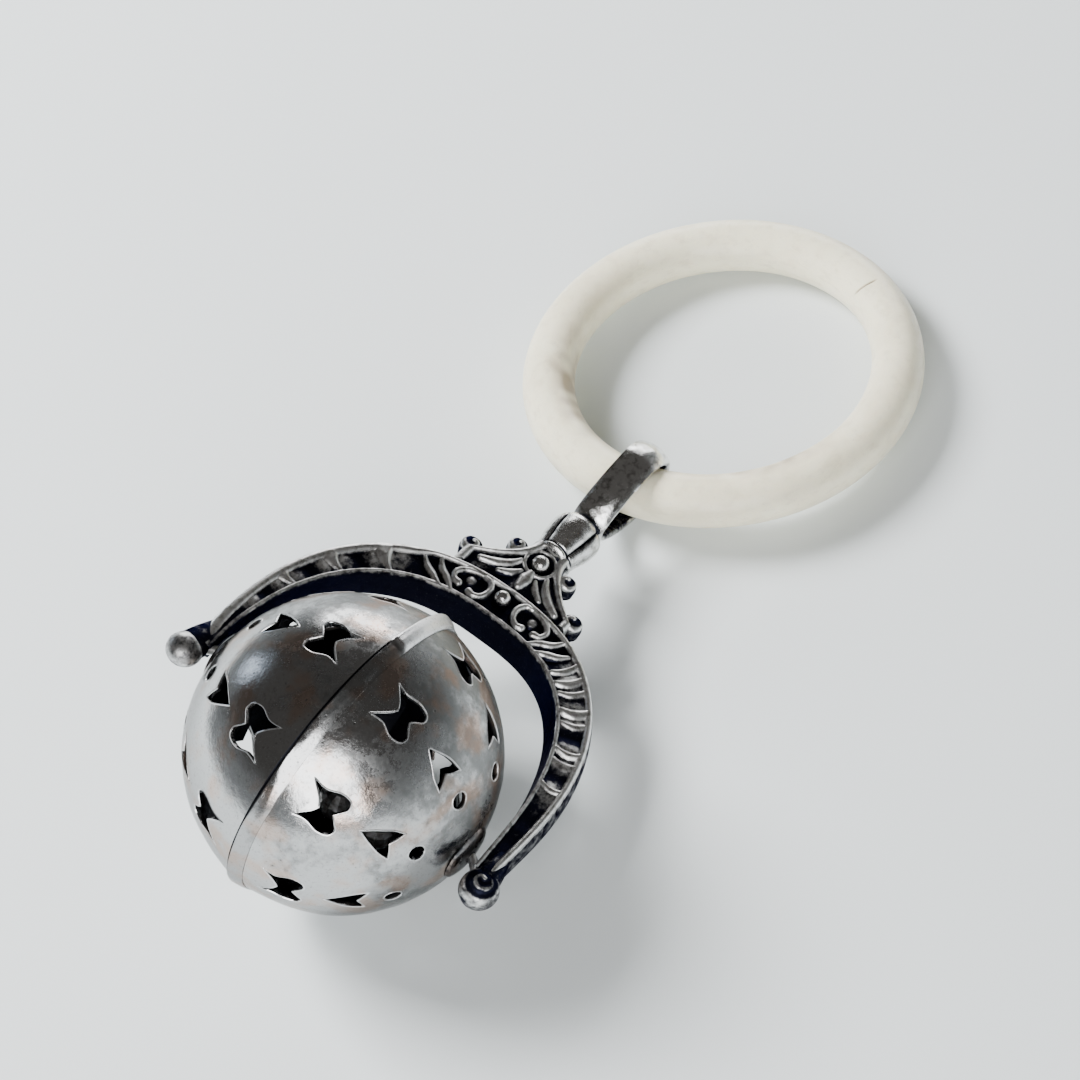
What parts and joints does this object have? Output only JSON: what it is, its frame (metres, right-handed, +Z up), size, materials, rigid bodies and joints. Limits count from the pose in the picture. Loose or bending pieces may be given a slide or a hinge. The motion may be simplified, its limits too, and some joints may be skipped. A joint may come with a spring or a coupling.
{
  "type": "baby rattle",
  "caption": "Pierced metal ball rattle that spins in an ornate cast yoke, with a neck, a strap bail and a plain teething ring linked through it.",
  "frame": {"origin": "middle of the bounding box's underside, on the surface the rattle lies on", "axes": "+X from the ball towards the teething ring, +Z up, +Y to the end of the pivot axis that lies higher"},
  "size_m": [0.112, 0.0472, 0.0339],
  "materials": {
    "silver_ball": "worn polished silver with a grey patina",
    "silver_cast": "oxidised cast silver, bright on the raised relief and near black in the recesses",
    "ring_ivory": "smooth aged ivory-coloured, softly polished",
    "pellet_steel": "plain"
  },
  "bodies": {
    "frame": {"yoke": "silver_cast", "crest": "silver_cast", "neck": "silver_cast", "bail": "silver_cast", "end_knob_left": "silver_cast", "end_knob_right": "silver_cast", "pivot_pin_left": "silver_cast", "pivot_pin_right": "silver_cast", "crown_bead_front": "silver_cast", "crown_bead_back": "silver_cast", "crest_bead_front": "silver_cast", "crest_bead_back": "silver_cast"},
    "ball": {"ball_half_left": "silver_ball", "ball_half_right": "silver_ball", "seam_band": "silver_ball", "pivot_boss_left": "silver_ball", "pivot_boss_right": "silver_ball"},
    "ring": {"teething_ring": "ring_ivory"},
    "shot_1": {"pellet_1": "pellet_steel"},
    "shot_2": {"pellet_2": "pellet_steel"},
    "shot_3": {"pellet_3": "pellet_steel"}
  },
  "joints": [
    {"name": "ball_spin", "type": "hinge", "parent": "frame", "child": "ball", "pos_m": [-0.03842, -0.00081, 0.01699], "axis": [0.0744, 0.9405, 0.3316], "continuous": true},
    {"name": "ring_swing", "type": "hinge", "parent": "frame", "child": "ring", "pos_m": [0.01212, -0.00081, 0.00565], "axis": [-0.0396, 0.9992, 0], "range_deg": [-146, 165]},
    {"name": "shot_1_roll", "type": "hinge", "parent": "ball", "child": "shot_1", "pos_m": [-0.03842, -0.00081, 0.01699], "axis": [0.0744, 0.9405, 0.3316], "continuous": true},
    {"name": "shot_2_roll", "type": "hinge", "parent": "ball", "child": "shot_2", "pos_m": [-0.03842, -0.00081, 0.01699], "axis": [0.0744, 0.9405, 0.3316], "continuous": true},
    {"name": "shot_3_roll", "type": "hinge", "parent": "ball", "child": "shot_3", "pos_m": [-0.03842, -0.00081, 0.01699], "axis": [0.0744, 0.9405, 0.3316], "continuous": true}
  ]
}
